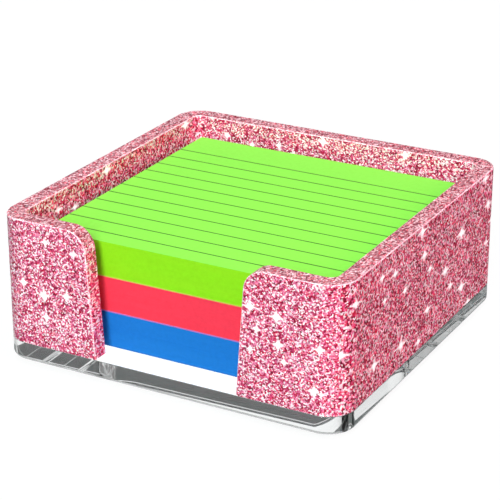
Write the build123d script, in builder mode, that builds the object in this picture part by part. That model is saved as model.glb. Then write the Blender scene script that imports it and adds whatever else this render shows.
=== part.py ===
"""Square sticky-note holder: a glitter acrylic wall bent to a C on a clear base plate, with three pads of notes in it.

Millimetres. The front, with its notch, faces -Y. The origin is the middle of the footprint, on the desk.
"""
import os
from math import radians, tan

from build123d import *

# Notes and pads
note_side = 76.2
sheet_thickness = 0.088
sheets_per_pad = 100
backing_thickness = 0.3
# Depth of the glued band along the back edge of a note
adhesive_band = 16.0

# Wall, bent from one strip
note_clearance = 3.5
wall_thickness = 4.65
wall_height = 32.2
# Inside radius of the four bends
bend_radius = 2.25
# Front notch: width at its foot, lean of each side in degrees, and radius of its shoulders at the rim
notch_width = 38.1
notch_lean = 4.0
notch_shoulder = 5.5
# Radius of the polished arrises along the rim and the notch
arris_radius = 0.4

# Clear base plate, flush with the wall: fine chamfer round the top, rounded edge round the underside
base_thickness = 4.75
base_top_chamfer = 0.1
base_bottom_round = 0.9

# Stick-on feet
foot_diameter = 8.0
foot_height = 1.2
foot_edge_round = 0.5
# From the plate's side to the middle of a foot
foot_inset = 13.0

# Film of cement under the wall and of adhesive over the feet, and the air under a pad
bond_line = 0.05
paper_gap = 0.05

# Sizes that follow from those above
well_side = note_side + 2 * note_clearance
holder_side = well_side + 2 * wall_thickness
corner_radius = bend_radius + wall_thickness
notch_top = notch_width + 2 * wall_height * tan(radians(notch_lean))
base_bottom = foot_height + bond_line
base_top = base_bottom + base_thickness
wall_bottom = base_top + bond_line
rim = wall_bottom + wall_height
pad_bottom = base_top + paper_gap
block_thickness = sheets_per_pad * sheet_thickness
pad_thickness = backing_thickness + block_thickness
foot_centre = holder_side / 2 - foot_inset


def save(builder, name):
    """Labels a finished piece and writes it to its own file."""
    builder.part.label = name
    export_step(builder.part, f"parts/{name}.step")


os.makedirs("parts", exist_ok=True)

# Clear plate with rounded corners, a fine chamfer round the top and a rounded edge underneath
with BuildPart() as base_plate:
    with BuildSketch(Plane.XY.offset(base_bottom)):
        RectangleRounded(holder_side, holder_side, corner_radius)
    extrude(amount=base_thickness)
    fillet(base_plate.edges().group_by(Axis.Z)[0], radius=base_bottom_round)
    chamfer(base_plate.edges().group_by(Axis.Z)[-1], length=base_top_chamfer)
save(base_plate, "base_plate")

# Four round bumpers, with the edge that meets the desk rounded over
foot_places = {
    "foot_front_left": (-foot_centre, -foot_centre),
    "foot_front_right": (foot_centre, -foot_centre),
    "foot_back_left": (-foot_centre, foot_centre),
    "foot_back_right": (foot_centre, foot_centre),
}
for foot_name, place in foot_places.items():
    with BuildPart() as foot:
        with BuildSketch():
            with Locations(place):
                Circle(foot_diameter / 2)
        extrude(amount=foot_height)
        fillet(foot.edges().group_by(Axis.Z)[0], radius=foot_edge_round)
    save(foot, foot_name)

# Bent wall: the strip's four bends, then the notch between its two ends
with BuildPart() as glitter_wall:
    with BuildSketch(Plane.XY.offset(wall_bottom)):
        RectangleRounded(holder_side, holder_side, corner_radius)
        RectangleRounded(well_side, well_side, bend_radius, mode=Mode.SUBTRACT)
    extrude(amount=wall_height)
    with BuildSketch(Plane.XZ):
        with Locations((0, wall_bottom)):
            Trapezoid(notch_top, wall_height, 90 + notch_lean, align=(Align.CENTER, Align.MIN))
    extrude(amount=holder_side, mode=Mode.SUBTRACT)
    # The two ends' top corners are rounded over
    end_corners = glitter_wall.edges().filter_by(Axis.Y).group_by(Axis.Z)[-1].group_by(Axis.Y)[0]
    fillet(end_corners, radius=notch_shoulder)
    # Every arris is polished but those on the plate; lines along Y or Z between smooth faces are no arris
    across_the_ends = glitter_wall.edges().filter_by(Axis.Y).group_by(Axis.Y)[0]
    up_the_bends = glitter_wall.edges().filter_by(Axis.Z)
    on_the_plate = glitter_wall.edges().group_by(Axis.Z)[0]
    fillet(glitter_wall.edges() - across_the_ends - up_the_bends - on_the_plate, radius=arris_radius)
save(glitter_wall, "glitter_wall")

# Three pads, each a block of notes on its backing card; the green one gives its top sheet to the loose note
pad_names = ("blue", "red", "green")
for level, colour in enumerate(pad_names):
    backing_bottom = pad_bottom + level * pad_thickness
    block_bottom = backing_bottom + backing_thickness
    loose_sheets = 1 if colour == pad_names[-1] else 0
    with BuildPart() as backing:
        with BuildSketch(Plane.XY.offset(backing_bottom)):
            Rectangle(note_side, note_side)
        extrude(amount=backing_thickness)
    save(backing, f"{colour}_backing")
    with BuildPart() as block:
        with BuildSketch(Plane.XY.offset(block_bottom)):
            Rectangle(note_side, note_side)
        extrude(amount=block_thickness - loose_sheets * sheet_thickness)
    save(block, f"{colour}_pad")

# Top note: the glued band at the back, and the free part that lifts at the band's front edge
note_bottom = pad_bottom + len(pad_names) * pad_thickness - sheet_thickness
with BuildPart() as top_note_band:
    with BuildSketch(Plane.XY.offset(note_bottom)):
        with Locations((0, note_side / 2)):
            Rectangle(note_side, adhesive_band, align=(Align.CENTER, Align.MAX))
    extrude(amount=sheet_thickness)
save(top_note_band, "top_note_band")

with BuildPart() as top_note_flap:
    with BuildSketch(Plane.XY.offset(note_bottom)):
        with Locations((0, -note_side / 2)):
            Rectangle(note_side, note_side - adhesive_band, align=(Align.CENTER, Align.MIN))
    extrude(amount=sheet_thickness)
save(top_note_flap, "top_note_flap")

print(f"holder {holder_side:.1f} mm square, rim at {rim:.2f} mm, note top at {note_bottom + sheet_thickness:.2f} mm")
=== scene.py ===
# %% [markdown]
# # A glitter holder for sticky notes
#
# The object is a small square desk holder: a wall of pink glitter acrylic, bent at four corners
# and open at the front, on a thick clear plate that stands on four soft feet. Three pads of
# sticky notes lie in it, and the top note lifts. The construction is a fixed frame with real
# sizes, and this script gives every piece its finished shape and surface.
#
# We load the frame first and keep its box, because nothing that we make may leave it.

# %% The frame
import math
import random

import bmesh
import bpy
from mathutils import Matrix, Vector


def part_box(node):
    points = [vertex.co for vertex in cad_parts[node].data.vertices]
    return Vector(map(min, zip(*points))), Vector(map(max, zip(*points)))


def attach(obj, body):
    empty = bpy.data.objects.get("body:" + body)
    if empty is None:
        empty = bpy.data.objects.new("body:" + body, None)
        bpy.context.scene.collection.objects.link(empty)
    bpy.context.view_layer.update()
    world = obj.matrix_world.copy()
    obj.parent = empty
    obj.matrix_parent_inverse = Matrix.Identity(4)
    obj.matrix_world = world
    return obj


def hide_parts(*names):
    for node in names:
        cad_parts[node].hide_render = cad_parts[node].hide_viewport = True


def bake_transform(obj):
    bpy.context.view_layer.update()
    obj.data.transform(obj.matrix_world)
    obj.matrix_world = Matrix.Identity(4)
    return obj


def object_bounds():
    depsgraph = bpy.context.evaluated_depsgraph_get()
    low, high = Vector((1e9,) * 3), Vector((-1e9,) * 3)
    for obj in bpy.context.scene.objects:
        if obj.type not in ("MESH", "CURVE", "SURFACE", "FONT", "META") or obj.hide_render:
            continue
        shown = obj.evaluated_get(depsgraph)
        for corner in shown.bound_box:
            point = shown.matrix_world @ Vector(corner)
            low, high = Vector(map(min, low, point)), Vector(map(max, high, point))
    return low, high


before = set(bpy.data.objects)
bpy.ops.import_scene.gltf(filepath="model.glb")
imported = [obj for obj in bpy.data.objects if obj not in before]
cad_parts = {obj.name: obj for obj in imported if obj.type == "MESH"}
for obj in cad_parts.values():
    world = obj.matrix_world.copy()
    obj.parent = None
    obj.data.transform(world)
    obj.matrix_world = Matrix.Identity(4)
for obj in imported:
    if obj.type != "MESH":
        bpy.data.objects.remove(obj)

MM = 0.001
frame_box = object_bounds()
print("frame:", sorted(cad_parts))
print("box in mm:", [[round(c / MM, 2) for c in corner] for corner in frame_box])

# %% [markdown]
# ## Camera
#
# The photograph was taken from the right, a little above the rim, with a long lens. The place,
# the two angles and the focal length were fitted to the corners of the holder in the picture.

# %% Camera at the photograph's angle
camera_place = Vector((199.8, -371.4, 198.0)) * MM
camera_azimuth = math.radians(28.55)
camera_elevation = math.radians(22.73)
camera_lens = 131.0

camera_data = bpy.data.cameras.new("camera")
camera_data.lens = camera_lens
camera_data.sensor_width = 36.0
camera_data.clip_start = 0.01
camera_data.clip_end = 50.0
camera = bpy.data.objects.new("camera", camera_data)
camera.location = camera_place
camera.rotation_euler = (math.pi / 2 - camera_elevation, 0.0, camera_azimuth)
bpy.context.scene.collection.objects.link(camera)
bpy.context.scene.camera = camera
bpy.context.scene.view_settings.view_transform = "Standard"
print("camera is", round(camera_place.length, 3), "m from the holder")

# %% [markdown]
# ## Tools for finishes
#
# A finish is a small network of nodes. Colours are easiest to choose as the 0 to 255 numbers of a
# screen, but shaders work in linear light, so one helper converts them. Another starts a material,
# and a third fills a node's inputs with values or links. The rest each add one kind of node and
# hand back its result, so that a network reads like a recipe.

# %% Helpers for colours and nodes


def screen(red, green, blue):
    """A screen colour, 0 to 255, as the linear colour with alpha that a shader takes."""
    shares = [value / 255 for value in (red, green, blue)]
    linear = [s / 12.92 if s <= 0.04045 else ((s + 0.055) / 1.055) ** 2.4 for s in shares]
    return (*linear, 1.0)


def feed(tree, made, inputs):
    """Fills a node's inputs: a socket is linked, and anything else is set as the value."""
    for key, value in inputs.items():
        if isinstance(value, bpy.types.NodeSocket):
            tree.links.new(value, made.inputs[key])
        else:
            made.inputs[key].default_value = value


def node(tree, kind, inputs=None, **settings):
    """A new node of this kind with some settings and inputs."""
    made = tree.nodes.new("ShaderNode" + kind)
    for key, value in settings.items():
        setattr(made, key, value)
    feed(tree, made, inputs or {})
    return made


def new_finish(name, inputs=None):
    """A new material, its node tree and its Principled shader with some inputs."""
    material = bpy.data.materials.new(name)
    material.use_nodes = True
    tree = material.node_tree
    shader = tree.nodes["Principled BSDF"]
    feed(tree, shader, inputs or {})
    return material, tree, shader


white = screen(255, 255, 255)
print("white is", white)

# %% Helpers for calculations, ranges and mixtures


def calculate(tree, operation, *values):
    """The result of one operation on numbers."""
    return node(tree, "Math", dict(enumerate(values)), operation=operation).outputs[0]


def calculate_vector(tree, operation, *values):
    """The result of one operation on vectors."""
    return node(tree, "VectorMath", dict(enumerate(values)), operation=operation).outputs[0]


def map_range(tree, value, limits, results=(0.0, 1.0), **settings):
    """A value carried over from its limits to the results, and held between them."""
    inputs = {
        "Value": value,
        "From Min": limits[0],
        "From Max": limits[1],
        "To Min": results[0],
        "To Max": results[1],
    }
    return node(tree, "MapRange", inputs, **settings).outputs[0]


def mix_values(tree, share, first, second):
    """A number between two others, nearer to the second as the share grows."""
    return node(tree, "Mix", {"Factor": share, "A": first, "B": second}).outputs[0]


def mix_colours(tree, share, first, second, blend_type="MIX"):
    """The second colour laid over the first, as strongly as the share says."""
    inputs = {"Factor": share, "A": first, "B": second}
    return node(tree, "Mix", inputs, data_type="RGBA", blend_type=blend_type).outputs["Result"]


def ramp(tree, factor, stops):
    """A colour ramp over a factor, from a list of places and colours."""
    made = node(tree, "ValToRGB", {"Fac": factor})
    elements = made.color_ramp.elements
    while len(elements) < len(stops):
        elements.new(0.5)
    for element, (place, colour) in zip(elements, stops):
        element.position = place
        element.color = colour
    return made.outputs["Color"]


# %% [markdown]
# ## From mesh to object
#
# Everything that we model starts as a bmesh and ends as an object with its materials. Faces are
# shaded smooth, but an edge that turns sharply stays sharp, or a narrow face beside it would borrow
# the normal of the face round the corner.

# %% Helper for objects
sharp_angle = math.radians(60)


def as_object(bm, name, materials):
    """Closes a bmesh into a new object with these materials, smooth but for its sharp edges."""
    mesh = bpy.data.meshes.new(name)
    bm.normal_update()
    for face in bm.faces:
        face.smooth = True
    for edge in bm.edges:
        edge.smooth = edge.calc_face_angle(0.0) < sharp_angle
    bm.to_mesh(mesh)
    bm.free()
    piece = bpy.data.objects.new(name, mesh)
    bpy.context.scene.collection.objects.link(piece)
    for material in materials:
        mesh.materials.append(material)
    print(f"{name}: {len(mesh.polygons)} faces")
    return piece


print("edges stay sharp from", round(math.degrees(sharp_angle)), "degrees")

# %% [markdown]
# ## Studio
#
# The holder stands on a white floor. We could simply light the floor until it is white, but then
# the object would be too bright. So the floor is partly lit from itself where the camera looks at
# it: the open floor is white and a soft shadow stays. It is wholly so right under the plate, seen
# through it, where the lamps hardly reach. Behind the holder the floor keeps its full shadow, and
# this is the grey that fills the plate's front. The floor's own tone is a touch cool, which makes
# up for the pink of the side lamp.

# %% Floor
floor_reach = 6.0
floor_tone = screen(119, 130, 128)
floor_shadow_share = 0.35
floor_glow = 1.43
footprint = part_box("base_plate")[1][0]

floor_finish, tree, shader = new_finish(
    "white_floor",
    {"Base Color": floor_tone, "Roughness": 0.9, "Specular IOR Level": 0.0},
)
rays = node(tree, "LightPath").outputs
place = node(tree, "SeparateXYZ", {0: node(tree, "NewGeometry").outputs["Position"]}).outputs
away_x = calculate(tree, "ABSOLUTE", place["X"])
away_y = calculate(tree, "ABSOLUTE", place["Y"])
under = calculate(tree, "LESS_THAN", calculate(tree, "MAXIMUM", away_x, away_y), footprint)
through = calculate(tree, "MULTIPLY", rays["Is Transmission Ray"], under)
straight = calculate(tree, "MULTIPLY", rays["Is Camera Ray"], 1.0 - floor_shadow_share)
seen = calculate(tree, "MAXIMUM", straight, through)
glow = node(tree, "Emission", {"Color": white, "Strength": floor_glow}).outputs["Emission"]
surface = node(tree, "MixShader", {"Fac": seen, 1: shader.outputs["BSDF"], 2: glow}).outputs["Shader"]
feed(tree, tree.nodes["Material Output"], {"Surface": surface})

bm = bmesh.new()
bmesh.ops.create_grid(bm, x_segments=1, y_segments=1, size=floor_reach)
floor = as_object(bm, "floor", [floor_finish])

# %% [markdown]
# Clear plastic only shows by what it bends and mirrors, so the room round the holder has more than
# one face. For the camera it is white. For light that comes out of the clear plate it is white
# behind the holder and a light grey in front, which gives the plate some body. For everything else
# it is dark near the horizon and at the sides, as if black flags stood there, and bright overhead,
# so that reflections don't veil the glitter.

# %% World
room_by_height = [(0.0, 0.02), (0.15, 0.04), (0.32, 0.12), (0.5, 0.18), (0.75, 0.6), (1.0, 0.8)]
flag_tone = 0.2
flag_border = (0.55, 0.75)
flag_top = (0.5, 0.8)
front_tone = 0.6
front_to_back = (-0.4, 0.4)

world = bpy.data.worlds.new("studio")
world.use_nodes = True
bpy.context.scene.world = world
tree = world.node_tree
rays = node(tree, "LightPath").outputs
direction = node(tree, "SeparateXYZ", {0: node(tree, "TexCoord").outputs["Generated"]}).outputs
greys = [(height, (tone, tone, tone, 1.0)) for height, tone in room_by_height]
room = ramp(tree, direction["Z"], greys)
flags = map_range(tree, calculate(tree, "ABSOLUTE", direction["X"]), flag_border, (1.0, flag_tone))
above_flags = map_range(tree, direction["Z"], flag_top)
shade = calculate(tree, "MAXIMUM", flags, above_flags)
shaded = mix_colours(tree, 1.0, room, shade, "MULTIPLY")
through = map_range(tree, direction["Y"], front_to_back, (front_tone, 1.0))
beyond = mix_colours(tree, rays["Is Transmission Ray"], shaded, through)
seen = mix_colours(tree, rays["Is Camera Ray"], beyond, white)
feed(tree, tree.nodes["Background"], {"Color": seen})
print("room:", len(tree.nodes), "nodes")

# %% [markdown]
# Four soft lamps light the holder. The key lamp in front and the ceiling are white. The lamp at the
# right is pink, which gives that side the deeper colour that it has in the photograph. A low one
# behind fills the back and the left side, and makes no gloss. All are hidden from the camera and
# from light that has passed the plate, because their sharp images in it would look like labels.

# %% Lamps
lamps = {
    "key": {
        "place": (0.3, -1.4, 0.8), "size": (0.5, 0.9), "watts": 23.9,
        "colour": (1.0, 1.0, 1.0), "gloss": True,
    },
    "ceiling": {
        "place": (0.1, 0.1, 1.5), "size": (1.2, 1.2), "watts": 5.5,
        "colour": (1.0, 1.0, 1.0), "gloss": True,
    },
    "side": {
        "place": (1.3, -0.2, 0.7), "size": (0.8, 0.8), "watts": 13.9,
        "colour": (1.0, 0.42, 0.5), "gloss": True,
    },
    "fill": {
        "place": (-0.8, 1.1, 0.2), "size": (1.0, 0.3), "watts": 12.0,
        "colour": (1.0, 0.94, 0.95), "gloss": False,
    },
}
middle = (Vector(frame_box[0]) + Vector(frame_box[1])) / 2
for name, facts in lamps.items():
    lamp_data = bpy.data.lights.new(name, "AREA")
    lamp_data.shape = "RECTANGLE"
    lamp_data.size, lamp_data.size_y = facts["size"]
    lamp_data.energy = facts["watts"]
    lamp_data.color = facts["colour"]
    lamp = bpy.data.objects.new(name, lamp_data)
    lamp.location = facts["place"]
    lamp.rotation_euler = (middle - Vector(facts["place"])).to_track_quat("-Z", "Y").to_euler()
    bpy.context.scene.collection.objects.link(lamp)
    lamp.visible_camera = False
    lamp.visible_transmission = False
    lamp.visible_glossy = facts["gloss"]
print("lamps:", ", ".join(lamps))

# %% [markdown]
# Light that enters the clear plate is mirrored between its faces many times before it leaves, so
# the renderer is allowed more bounces than usual.

# %% Bounces inside clear plastic
cycles = bpy.context.scene.cycles
cycles.max_bounces = 32
cycles.glossy_bounces = 24
cycles.transmission_bounces = 32
cycles.transparent_max_bounces = 16
print("bounces:", cycles.max_bounces)

# %% [markdown]
# ## Glitter acrylic
#
# Real glitter sheet is clear acrylic poured over thousands of cut foil flakes, each about a third
# of a millimetre across. We could scatter real flakes as small meshes, but there would be far too
# many. A Voronoi texture is made of just such cells, and each cell has a random colour. One channel
# of it picks the flake's tone from a ramp, from wine red in the shade to white in the light.
#
# The faces of the wall have the full range of tones. The cut rim shows finer, duller flakes, because
# there we look at the sheet edge-on. The arrises get pale tones, a painted highlight where the polished
# edges would catch the light.

# %% Tones of the flakes
flake_tones = [
    (0.06, screen(116, 12, 48)),
    (0.18, screen(184, 31, 78)),
    (0.32, screen(209, 62, 109)),
    (0.44, screen(227, 106, 153)),
    (0.56, screen(239, 141, 181)),
    (0.66, screen(251, 203, 224)),
    (0.76, screen(255, 242, 248)),
    (0.96, screen(255, 255, 255)),
]
rim_tones = [
    (0.06, screen(98, 22, 44)),
    (0.25, screen(157, 73, 91)),
    (0.45, screen(189, 124, 137)),
    (0.62, screen(208, 155, 164)),
    (0.8, screen(235, 203, 210)),
    (0.96, screen(254, 242, 245)),
]
# Painted highlight: the arrises are pale where polished edges would catch the light.
edge_highlight_tones = [(0.1, screen(240, 190, 208)), (0.5, screen(255, 230, 239)), (0.9, screen(255, 252, 254))]
print("tones:", {"faces": len(flake_tones), "rim": len(rim_tones), "arrises": len(edge_highlight_tones)})

# %% [markdown]
# Here and there a flake flashes. Real flashes are images of the lamps and would need a mirror for
# each flake, so we draw them: a round core and four short rays, which glow a little. Under a
# Minkowski measure with an exponent below one, the points near a cell's middle form a star, and
# this gives the rays. The flashes lie flat on the wall's faces, spread along X on the front and the
# back and along Y on the two sides. Two channels of the cell's colour say whether it has a flash and
# how far the flash shrinks.

# %% Flashes
flash_spacing = 8.0 * MM
flash_start = (123.7 * MM, 84.5 * MM, 0.0)
flash_share = 0.6
flash_shrink = (1.0, 1.9)
flash_core = (0.085, 0.025)
flash_rays = (0.48, 0.05)
star_exponent = 0.5


def flash_light(tree, place, on_side):
    """How brightly a point of a wall's face flashes, from 0 to 1."""
    run = node(tree, "SeparateXYZ", {0: place}).outputs
    along = mix_values(tree, on_side, run["X"], run["Y"])
    on_face = node(tree, "CombineXYZ", {"X": along, "Y": run["Z"]}).outputs[0]
    on_face = calculate_vector(tree, "ADD", on_face, flash_start)

    def spot(limits, shape, measure):
        """0 past the first limit from a flash's middle, and 1 inside the second."""
        inputs = {"Vector": on_face, "Scale": 1 / flash_spacing, **shape}
        cells = node(tree, "TexVoronoi", inputs, voronoi_dimensions="2D", distance=measure).outputs
        chance = node(tree, "SeparateColor", {"Color": cells["Color"]}).outputs
        shrink = map_range(tree, chance["Green"], (0.0, 1.0), flash_shrink)
        reach = calculate(tree, "MULTIPLY", cells["Distance"], shrink)
        light = map_range(tree, reach, limits, interpolation_type="SMOOTHSTEP")
        chosen = calculate(tree, "LESS_THAN", chance["Red"], flash_share)
        return calculate(tree, "MULTIPLY", light, chosen)

    core = spot(flash_core, {}, "EUCLIDEAN")
    rays = spot(flash_rays, {"Exponent": star_exponent}, "MINKOWSKI")
    return calculate(tree, "MAXIMUM", core, rays)


print("flash spacing:", round(flash_spacing / MM, 1), "mm")

# %% [markdown]
# Now the finish itself. A slow drift makes patches a little lighter or darker, some flakes are a purer
# red, and the cell's three channels together tilt its normal. The texture is three-dimensional, like
# flakes in a cast sheet, so nothing has to be unwrapped. The right side in the photograph shows larger
# and stronger flakes than the front's would be at that slant, so both sides get larger flakes, and
# their tones are spread further towards white and wine red. This spread is painted light: it stands in
# for foil flakes that mirror the lamps at a low angle. The flakes of the rim, the arrises and the sawn
# ends are longer along Y for the same reason as the sides' larger flakes. Only the wall's faces flash:
# on a narrow end a flash would be a white patch.

# %% Glitter finishes
flake_size = 0.35 * MM
side_flake_size = 0.44 * MM
rim_flake_size = 0.31 * MM
flake_stretch = (1.0, 0.6, 1.0)
# Painted light: on the two sides the tones spread further to white and wine red, for flakes that mirror
# the lamps at a low angle.
side_painted_light_spread = (0.12, 0.93)
drift_size = 3.0 * MM
drift_range = (0.25, 0.75)
drift_share = 0.12
red_share = 0.2
red_tint = (1.0, 0.35, 0.42, 1.0)
flake_tilt = 0.4
flash_glow = 0.6


def on_sides(tree, normal):
    """1 on the faces that look along X and 0 on those that look along Y."""
    turned = calculate_vector(tree, "ABSOLUTE", normal)
    turned = node(tree, "SeparateXYZ", {0: turned}).outputs
    return calculate(tree, "GREATER_THAN", turned["X"], turned["Y"])


def glitter(name, tones, size, side_size=None):
    """Acrylic full of flakes of this size. With a size for the two sides too, it also flashes."""
    material, tree, shader = new_finish(
        name,
        {"Roughness": 0.45, "Specular IOR Level": 0.15, "Coat Weight": 0.1, "Coat Roughness": 0.08},
    )
    here = node(tree, "TexCoord").outputs
    stretched = calculate_vector(tree, "MULTIPLY", here["Object"], flake_stretch)
    place = stretched
    fineness = 1 / size
    if side_size:
        on_side = on_sides(tree, here["Normal"])
        place = here["Object"]
        fineness = mix_values(tree, on_side, 1 / size, 1 / side_size)
    flakes = node(tree, "TexVoronoi", {"Vector": place, "Scale": fineness}).outputs["Color"]
    chance = node(tree, "SeparateColor", {"Color": flakes}).outputs
    drift = node(tree, "TexNoise", {"Vector": stretched, "Scale": 1 / drift_size, "Detail": 2.0})
    drift = map_range(tree, drift.outputs["Fac"], drift_range)
    tone = mix_values(tree, drift_share, chance["Red"], drift)
    if side_size:
        # Painted light: the sides' tones are spread further, bright and dark.
        tone = mix_values(tree, on_side, tone, map_range(tree, tone, side_painted_light_spread))
    red = calculate(tree, "LESS_THAN", chance["Green"], red_share)
    colour = mix_colours(tree, red, ramp(tree, tone, tones), red_tint, "MULTIPLY")

    if side_size:
        lit = flash_light(tree, stretched, on_side)
        colour = mix_colours(tree, lit, colour, white)
        glow = calculate(tree, "MULTIPLY", lit, flash_glow)
        feed(tree, shader, {"Emission Color": white, "Emission Strength": glow})

    centred = calculate_vector(tree, "SUBTRACT", flakes, (0.5, 0.5, 0.5))
    tilt = node(tree, "VectorMath", {0: centred, "Scale": 2 * flake_tilt}, operation="SCALE").outputs[0]
    smooth = node(tree, "NewGeometry").outputs["Normal"]
    facing = calculate_vector(tree, "NORMALIZE", calculate_vector(tree, "ADD", smooth, tilt))
    feed(tree, shader, {"Base Color": colour, "Normal": facing})
    return material


wall_finish = glitter("wall_glitter", flake_tones, flake_size, side_flake_size)
rim_finish = glitter("cut_rim_glitter", rim_tones, rim_flake_size)
edge_highlight_finish = glitter("edge_glitter_painted_highlight", edge_highlight_tones, flake_size)
end_finish = glitter("sawn_end_glitter", flake_tones, flake_size)
print("glitter flakes:", round(flake_size / MM, 2), "mm")

# %% [markdown]
# The wall's underside is cemented on the plate. The photograph shows no pink in the clear plate, so the
# underside gets a finish of its own, a neutral and slightly cloudy grey. This grey is painted shade: it
# stands for the dark under the wall as it is seen through the plate. The film of cement itself would be
# thinner than a hair.

# %% Painted shade under the wall
shade_cloud_size = 1.5 * MM
# Painted shade: the grey of the underside stands for the dark under the wall, seen through the plate.
underside_shade_tones = [(0.35, screen(84, 84, 85)), (0.65, screen(112, 112, 113))]

underside_shade_finish, tree, shader = new_finish("underside_painted_shade", {"Roughness": 0.3})
here = node(tree, "TexCoord").outputs["Object"]
clouds = node(tree, "TexNoise", {"Vector": here, "Scale": 1 / shade_cloud_size, "Detail": 3.0})
feed(tree, shader, {"Base Color": ramp(tree, clouds.outputs["Fac"], underside_shade_tones)})
print("painted shade clouds:", round(shade_cloud_size / MM, 2), "mm")

# %% [markdown]
# ## Bent wall
#
# The wall is one strip, bent round four corners. A box with a hollow and a notch cut from it would
# need boolean cuts, which leave untidy faces at the bends. A strip is made as the real one is: we
# draw the line of its outer face, round the corners with a vertex bevel, pull it up to a ribbon,
# and lean and round its two free ends.

# %% Wall strip
wall_low, wall_high = (Vector(corner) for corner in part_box("glitter_wall"))
wall_thickness = 4.65 * MM
bend_radius = 2.25 * MM
notch_width = 38.1 * MM
notch_lean = math.radians(4.0)
shoulder_radius = 5.5 * MM

wall_height = wall_high.z - wall_low.z
half_side = wall_high.x
corner_radius = bend_radius + wall_thickness
lean_run = wall_height * math.tan(notch_lean)
shoulder_angle = math.pi / 2 + notch_lean

bm = bmesh.new()
corners = [
    (-notch_width / 2, -half_side),
    (-half_side, -half_side),
    (-half_side, half_side),
    (half_side, half_side),
    (half_side, -half_side),
    (notch_width / 2, -half_side),
]
line = [bm.verts.new((x, y, wall_low.z)) for x, y in corners]
for first, second in zip(line, line[1:]):
    bm.edges.new((first, second))
bmesh.ops.bevel(
    bm, geom=line[1:-1], offset=corner_radius, offset_type="OFFSET",
    affect="VERTICES", segments=24, profile=0.5, material=-1,
)
pulled = bmesh.ops.extrude_edge_only(bm, edges=bm.edges[:])["geom"]
upper = [item for item in pulled if isinstance(item, bmesh.types.BMVert)]
bmesh.ops.translate(bm, verts=upper, vec=(0, 0, wall_height))
ends = [vert for vert in upper if len(vert.link_edges) == 2]
for vert in ends:
    vert.co.x += math.copysign(lean_run, vert.co.x)
bmesh.ops.bevel(
    bm, geom=ends, offset=shoulder_radius / math.tan(shoulder_angle / 2), offset_type="OFFSET",
    affect="VERTICES", segments=14, profile=0.5, material=-1,
)
print("ribbon:", len(bm.faces), "faces,", len(bm.verts), "vertices")

# %% [markdown]
# The ribbon gets its thickness inwards, and a small bevel polishes every arris but those on the
# plate. solidify works against the normals, so they have to point outwards first.

# %% Wall thickness and arrises
arris_radius = 0.4 * MM
arris_angle = math.radians(40)

bmesh.ops.recalc_face_normals(bm, faces=bm.faces[:])
outward = sum(face.normal.dot(face.calc_center_median()) for face in bm.faces)
if outward < 0:
    bmesh.ops.reverse_faces(bm, faces=bm.faces[:])
bmesh.ops.solidify(bm, geom=bm.faces[:], thickness=wall_thickness)
bm.normal_update()
arrises = [
    edge for edge in bm.edges
    if edge.is_manifold
    and edge.calc_face_angle() > arris_angle
    and max(vert.co.z for vert in edge.verts) > wall_low.z + arris_radius
]
rounded = bmesh.ops.bevel(
    bm, geom=arrises, offset=arris_radius, offset_type="OFFSET",
    affect="EDGES", segments=4, profile=0.5, material=-1, clamp_overlap=True,
)
bm.normal_update()
print("arrises:", len(arrises), "edges")

# %% [markdown]
# A finished piece moves with its body and stands for its node. One helper says both.
#
# A rounded border would make the flat face beside it look swollen, because smooth shading blends
# their normals. Weighted normals let the larger face win. They compare areas, which are only
# millionths of a square metre here, so the difference that counts has to be set very small. In
# clear plastic this matters most: every ray is bent by these normals.

# %% Helpers for finished pieces
same_area = 0.01 * MM * MM


def settle(piece, body, slot, *nodes):
    """Lets a piece ride on its body in place of its nodes. The slot is not used."""
    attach(piece, body)
    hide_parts(*nodes)


def weigh_normals(piece):
    """Keeps flat faces flat and their rounded borders soft."""
    weighted = piece.modifiers.new("flat faces stay flat", "WEIGHTED_NORMAL")
    weighted.mode = "FACE_AREA"
    weighted.weight = 100
    weighted.thresh = same_area
    weighted.keep_sharp = True


# %% [markdown]
# The way a face looks says which finish it has: an arris lies at a slant, the rim looks up, a sawn end
# looks along X beside the notch, the underside with its painted shade looks down, and the rest is the
# wall's face.

# %% Wall finishes
wall_finishes = {
    "face": wall_finish,
    "rim": rim_finish,
    "arris": edge_highlight_finish,
    "end": end_finish,
    "underside": underside_shade_finish,
}
finish_number = {name: number for number, name in enumerate(wall_finishes)}
# How much of a face's normal lies along an axis: on an arris, on the rim and on flat faces
slant_range = (0.4, 0.92)
partly = 0.4
squarely = 0.8

end_reach = notch_width / 2 + lean_run + shoulder_radius
polished = set(rounded["faces"])
for face in bm.faces:
    centre = face.calc_center_median()
    at_an_end = centre.y < 0 and abs(centre.x) < end_reach
    slant = abs(face.normal.y) if at_an_end else abs(face.normal.z)
    if face in polished and slant_range[0] < slant < slant_range[1]:
        face.material_index = finish_number["arris"]
    elif face.normal.z > partly:
        face.material_index = finish_number["rim"]
    elif at_an_end and abs(face.normal.x) > squarely:
        face.material_index = finish_number["end"]
    elif face.normal.z < -squarely:
        face.material_index = finish_number["underside"]
wall = as_object(bm, "bent_wall", list(wall_finishes.values()))
weigh_normals(wall)
settle(wall, "holder", "glitter_acrylic", "glitter_wall")
low = [min(v.co[i] for v in wall.data.vertices) for i in range(3)]
high = [max(v.co[i] for v in wall.data.vertices) for i in range(3)]
print("wall box in mm:", [round(c / MM, 3) for c in low], [round(c / MM, 3) for c in high])

# %% [markdown]
# ## Clear plate
#
# The plate is cast acrylic with polished edges. It is a box whose upright edges are rounded to
# the wall's own outline. The border under the wall is only broken by a fine chamfer, and the one
# near the desk is well rounded. A pale, half-transparent colour would be quicker to render, but
# only real transmission draws the bright lines along these edges.

# %% Clear plate
clear_finish = new_finish(
    "polished_clear",
    {"Base Color": screen(252, 254, 254), "Transmission Weight": 1.0, "Roughness": 0.0, "IOR": 1.545},
)[0]

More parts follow.
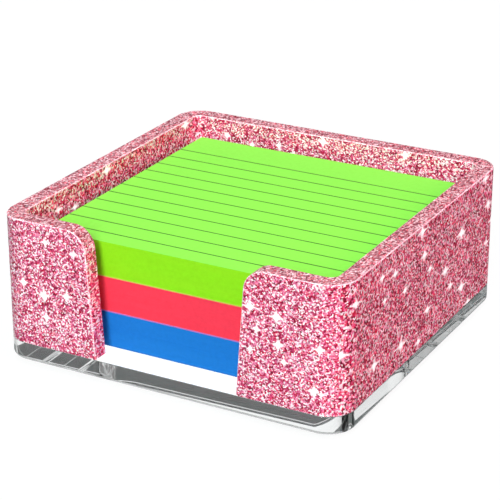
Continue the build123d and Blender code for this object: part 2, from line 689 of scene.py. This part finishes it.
plate_low, plate_high = (Vector(corner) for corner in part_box("base_plate"))
plate_top_chamfer = 0.1 * MM
plate_bottom_round = 0.9 * MM
same_height = 0.01 * MM


def block(bm, low, high):
    """A box between two corners, added to a bmesh."""
    size = Vector(high) - Vector(low)
    centre = (Vector(high) + Vector(low)) / 2
    placed = Matrix.Translation(centre) @ Matrix.Diagonal((*size, 1.0))
    return bmesh.ops.create_cube(bm, size=1.0, matrix=placed)["verts"]


bm = bmesh.new()
block(bm, plate_low, plate_high)
upright = [edge for edge in bm.edges if abs(edge.verts[0].co.z - edge.verts[1].co.z) > same_height]
bmesh.ops.bevel(
    bm, geom=upright, offset=corner_radius, offset_type="OFFSET",
    affect="EDGES", segments=32, profile=0.5, material=-1,
)
bm.normal_update()
borders = [edge for edge in bm.edges if edge.calc_face_angle() > sharp_angle]
for height, size, segments in (
    (plate_high.z, plate_top_chamfer, 1),
    (plate_low.z, plate_bottom_round, 8),
):
    border = [
        edge for edge in borders
        if edge.is_valid and abs(edge.verts[0].co.z - height) < same_height
    ]
    bmesh.ops.bevel(
        bm, geom=border, offset=size, offset_type="OFFSET",
        affect="EDGES", segments=segments, profile=0.5, material=-1,
    )
plate = as_object(bm, "clear_plate", [clear_finish])
weigh_normals(plate)
settle(plate, "holder", "clear_acrylic", "base_plate")

# %% [markdown]
# ## Feet
#
# Four soft clear bumpers keep the plate off the desk. A cylinder with a bevel would do, but a round
# piece is best turned: half of its outline, with the lower corner rounded, is spun round its axis.

# %% Clear rubber feet
rubber_finish = new_finish(
    "soft_clear",
    {"Base Color": screen(240, 243, 244), "Transmission Weight": 0.9, "Roughness": 0.2, "IOR": 1.45},
)[0]
foot_round = 0.5 * MM
weld_distance = 0.001 * MM

for place in ("front_left", "front_right", "back_left", "back_right"):
    foot_low, foot_high = (Vector(corner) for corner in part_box(f"foot_{place}"))
    centre = (foot_low + foot_high) / 2
    radius = (foot_high.x - foot_low.x) / 2
    bm = bmesh.new()
    outline = [(0, foot_high.z), (radius, foot_high.z), (radius, foot_low.z), (0, foot_low.z)]
    line = [bm.verts.new((centre.x + x, centre.y, z)) for x, z in outline]
    for first, second in zip(line, line[1:]):
        bm.edges.new((first, second))
    bmesh.ops.bevel(
        bm, geom=[line[2]], offset=foot_round, offset_type="OFFSET",
        affect="VERTICES", segments=6, profile=0.5, material=-1,
    )
    bmesh.ops.spin(
        bm, geom=bm.verts[:] + bm.edges[:], cent=centre, axis=(0, 0, 1),
        angle=2 * math.pi, steps=48, use_merge=True,
    )
    bmesh.ops.remove_doubles(bm, verts=bm.verts[:], dist=weld_distance)
    bmesh.ops.recalc_face_normals(bm, faces=bm.faces[:])
    foot = as_object(bm, f"bumper_{place}", [rubber_finish])
    weigh_normals(foot)
    settle(foot, "holder", "clear_rubber", f"foot_{place}")

# %% [markdown]
# ## Paper
#
# Sticky notes are dyed through, so the cut sides of a pad have the colour of its faces. The fibres show
# as a faint mottle and a very fine roughness, and one noise texture gives both. The card under each pad
# has a muted tint. The olive card under the green pad and the mauve one under the red pad are pale, and
# that pale line is partly painted highlight, the light that the top edge of the pad below would catch.
# The top note is paler than the green pad, which is painted sheen.

# %% Paper finishes
fibre_fineness = 900.0
fibre_height = 0.02 * MM
mottle_range = (0.3, 0.62)


def paper(name, colour, darker):
    """Uncoated paper, dyed through, with a faint mottle between two tones."""
    material, tree, shader = new_finish(name, {"Roughness": 0.75, "Specular IOR Level": 0.2})
    place = node(tree, "TexCoord").outputs["Object"]
    fibres = node(
        tree,
        "TexNoise",
        {"Vector": place, "Scale": fibre_fineness, "Detail": 5.0, "Roughness": 0.7},
    ).outputs["Fac"]
    mottle = ramp(tree, fibres, list(zip(mottle_range, (darker, colour))))
    bump = node(tree, "Bump", {"Height": fibres, "Strength": 0.08, "Distance": fibre_height})
    feed(tree, shader, {"Base Color": mottle, "Normal": bump.outputs["Normal"]})
    return material


paper_finish = {
    "blue": paper("blue_note_paper", screen(24, 128, 217), screen(21, 123, 210)),
    "red": paper("red_note_paper", screen(250, 66, 90), screen(243, 61, 85)),
    "green": paper("green_note_paper", screen(148, 234, 28), screen(143, 228, 24)),
}
# Painted sheen: the top note is paler and bluer than the green pad, for the light that an upward face
# of paper catches.
top_sheen_finish = paper("green_ruled_paper_painted_sheen", screen(139, 241, 84), screen(135, 236, 78))
# Painted highlight, in part: the olive and the mauve card stand for the light on the top edge of the
# pad below.
card_finish = {
    "blue": paper("blue_backing_card", screen(34, 118, 204), screen(30, 112, 196)),
    "red": paper("mauve_card_painted_highlight", screen(180, 126, 200), screen(172, 120, 192)),
    "green": paper("olive_card_painted_highlight", screen(200, 204, 92), screen(190, 194, 86)),
}
line_finish = paper("green_ruling_ink", screen(54, 124, 38), screen(50, 116, 35))
print("papers:", ", ".join(paper_finish))

# %% [markdown]
# ## Pads
#
# A pad is a stack of a hundred separate sheets on a backing card. Each sheet is its own thin slab,
# a few hundredths of a millimetre out of line with its neighbours, because a solid block would
# look like plastic. A seeded random generator places them the same way on every run.

# %% Pads of notes
sheet_thickness = 0.088 * MM
sheet_air = 0.004 * MM
sheet_shift = 0.03 * MM
shift_room = 4 * sheet_shift
sheet_turn = math.radians(0.03)
card_round = 0.05 * MM
draw = random.Random(11)

for colour in ("blue", "red", "green"):
    block_low, block_high = (Vector(corner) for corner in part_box(f"{colour}_pad"))
    count = round((block_high.z - block_low.z) / sheet_thickness)
    side = block_high.x - block_low.x - shift_room
    half = Vector((side / 2, side / 2, 0))
    bm = bmesh.new()
    for level in range(count):
        bottom = block_low.z + level * sheet_thickness
        low = -half + Vector((0, 0, bottom))
        high = half + Vector((0, 0, bottom + sheet_thickness - sheet_air))
        sheet = block(bm, low, high)
        shift = Vector((draw.uniform(-1, 1) * sheet_shift, draw.uniform(-1, 1) * sheet_shift, 0))
        turn = Matrix.Rotation(draw.uniform(-1, 1) * sheet_turn, 4, "Z")
        bmesh.ops.transform(bm, matrix=Matrix.Translation(shift) @ turn, verts=sheet)
    pad = as_object(bm, f"{colour}_sheets", [paper_finish[colour]])
    for polygon in pad.data.polygons:
        polygon.use_smooth = False
    settle(pad, f"{colour}_notes", f"{colour}_paper", f"{colour}_pad")

    card_low, card_high = (Vector(corner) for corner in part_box(f"{colour}_backing"))
    bm = bmesh.new()
    block(bm, card_low, card_high)
    bmesh.ops.bevel(
        bm, geom=bm.edges[:], offset=card_round, offset_type="OFFSET",
        affect="EDGES", segments=2, profile=0.5, material=-1,
    )
    card = as_object(bm, f"{colour}_card", [card_finish[colour]])
    weigh_normals(card)
    settle(card, f"{colour}_notes", "backing_card", f"{colour}_backing")

# %% [markdown]
# ## Top note
#
# The top note is one ruled sheet. Its back band is glued down, and the rest lifts and bends in
# front of the band. The lines could be painted by a texture, but the sheet needs cuts for the bend
# anyway. So it starts as one face and is cut across at the borders of each printed line and every
# half millimetre in the bend. The strips between line borders take the ink.

# %% Ruled sheet
line_pitch = 5.97 * MM
line_count = 11
first_line = 11.4 * MM
line_width = 0.42 * MM
bend_length = 8.0 * MM
bend_step = 0.5 * MM
note_finishes = [top_sheen_finish, line_finish]
plain, inked = 0, 1

band_low, band_high = (Vector(corner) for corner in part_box("top_note_band"))
flap_low, flap_high = (Vector(corner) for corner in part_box("top_note_flap"))
line_places = [band_high.y - first_line - number * line_pitch for number in range(line_count)]
cuts = [place + side * line_width / 2 for place in line_places for side in (-1, 1)]
cuts += [flap_high.y - number * bend_step for number in range(int(bend_length / bend_step) + 1)]

bm = bmesh.new()
note_size = Vector((flap_high.x - flap_low.x, band_high.y - flap_low.y, 1.0))
note_middle = Vector((0, (band_high.y + flap_low.y) / 2, flap_high.z))
placed = Matrix.Translation(note_middle) @ Matrix.Diagonal((*note_size, 1.0))
bmesh.ops.create_grid(bm, x_segments=1, y_segments=1, size=0.5, matrix=placed)
for cut in cuts:
    bmesh.ops.bisect_plane(
        bm, geom=bm.verts[:] + bm.edges[:] + bm.faces[:], plane_co=(0, cut, 0), plane_no=(0, 1, 0),
    )
for face in bm.faces:
    offsets = [abs(face.calc_center_median().y - place) for place in line_places]
    face.material_index = inked if min(offsets) < line_width / 2 else plain
print("ruled sheet:", line_count, "lines,", len(bm.faces), "strips")

# %% [markdown]
# The sheet gets its thickness last. That copies the ink to the underside too, so every face that
# doesn't look up is made plain again.

# %% Top note with its thickness
upward = 0.5

bmesh.ops.solidify(bm, geom=bm.faces[:], thickness=band_high.z - band_low.z)
bm.normal_update()
for face in bm.faces:
    if face.normal.z < upward:
        face.material_index = plain
note = as_object(bm, "ruled_top_note", note_finishes)
for polygon in note.data.polygons:
    polygon.use_smooth = False
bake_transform(note)
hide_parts("top_note_band", "top_note_flap")
